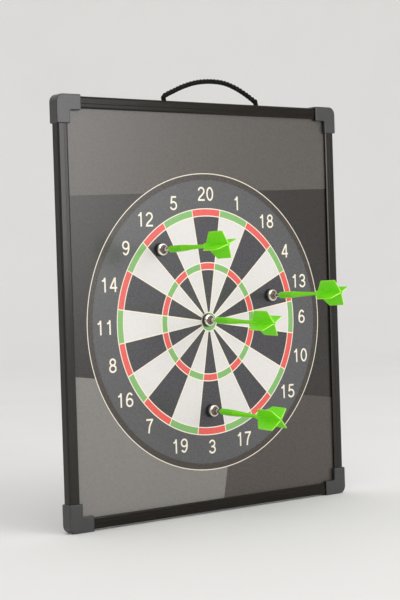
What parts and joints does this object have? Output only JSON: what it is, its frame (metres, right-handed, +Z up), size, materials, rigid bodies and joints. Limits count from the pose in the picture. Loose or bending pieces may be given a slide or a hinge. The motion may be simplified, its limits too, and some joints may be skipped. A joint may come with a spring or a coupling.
{
  "type": "magnetic dartboard",
  "caption": "Framed rectangular magnetic board printed with a round dart target, with grey corner caps, a black rope handle and green magnet-tipped darts on its face.",
  "frame": {"origin": "middle of the wall plane, which the backs of the four corner caps touch, on the board's two centre lines", "axes": "+X to the right of someone facing the board, +Y into the wall, +Z up; the printed face looks along -Y"},
  "size_m": [0.3732, 0.1198, 0.4573],
  "materials": {
    "film": "satin printed film, grey ground with a dart target",
    "steel": "thin rolled sheet, hidden under the print",
    "core": "pressed fibre board",
    "back": "fine textured black sheet",
    "rail": "black satin coated extrusion with lengthwise lines",
    "cap": "dark grey moulded plastic, fine grain",
    "key": "plain moulded plastic",
    "screw": "zinc plated",
    "rope": "twisted synthetic rope, matte black",
    "stop": "crimped steel",
    "magnet": "black coated magnet disc",
    "cup": "polished nickel plating",
    "barrel": "bright green moulded plastic with a diamond grip",
    "flight": "bright green moulded plastic, satin"
  },
  "bodies": {
    "board": {"print_film": "film", "steel_sheet": "steel", "core_board": "core", "back_sheet": "back", "left_rail": "rail", "top_rail": "rail", "right_rail": "rail", "bottom_rail": "rail", "bottom_left_cap": "cap", "top_left_cap": "cap", "top_right_cap": "cap", "bottom_right_cap": "cap", "bottom_left_key": "key", "top_left_key": "key", "top_right_key": "key", "bottom_right_key": "key", "bottom_left_screw_a": "screw", "bottom_left_screw_b": "screw", "top_left_screw_a": "screw", "top_left_screw_b": "screw", "top_right_screw_a": "screw", "top_right_screw_b": "screw", "bottom_right_screw_a": "screw", "bottom_right_screw_b": "screw", "rope_tail_left": "rope", "rope_tail_right": "rope", "rope_stop_left": "stop", "rope_stop_right": "stop"},
    "handle": {"rope_arch": "rope"},
    "dart_1": {"dart_1_magnet": "magnet", "dart_1_cup": "cup", "dart_1_barrel": "barrel", "dart_1_flight": "flight"},
    "dart_2": {"dart_2_magnet": "magnet", "dart_2_cup": "cup", "dart_2_barrel": "barrel", "dart_2_flight": "flight"},
    "dart_3": {"dart_3_magnet": "magnet", "dart_3_cup": "cup", "dart_3_barrel": "barrel", "dart_3_flight": "flight"},
    "dart_4": {"dart_4_magnet": "magnet", "dart_4_cup": "cup", "dart_4_barrel": "barrel", "dart_4_flight": "flight"}
  },
  "joints": [
    {"name": "handle_swing", "type": "hinge", "parent": "board", "child": "handle", "pos_m": [0.013, -0.0068, 0.2184], "axis": [1, 0, 0], "range_deg": [-80, 80], "stiffness_Nm_per_rad": 0.02},
    {"name": "dart_1_pull", "type": "slide", "parent": "board", "child": "dart_1", "axis": [0, -1, 0], "range_m": [0, 0.15]},
    {"name": "dart_2_pull", "type": "slide", "parent": "board", "child": "dart_2", "axis": [0, -1, 0], "range_m": [0, 0.15]},
    {"name": "dart_3_pull", "type": "slide", "parent": "board", "child": "dart_3", "axis": [0, -1, 0], "range_m": [0, 0.15]},
    {"name": "dart_4_pull", "type": "slide", "parent": "board", "child": "dart_4", "axis": [0, -1, 0], "range_m": [0, 0.15]}
  ]
}
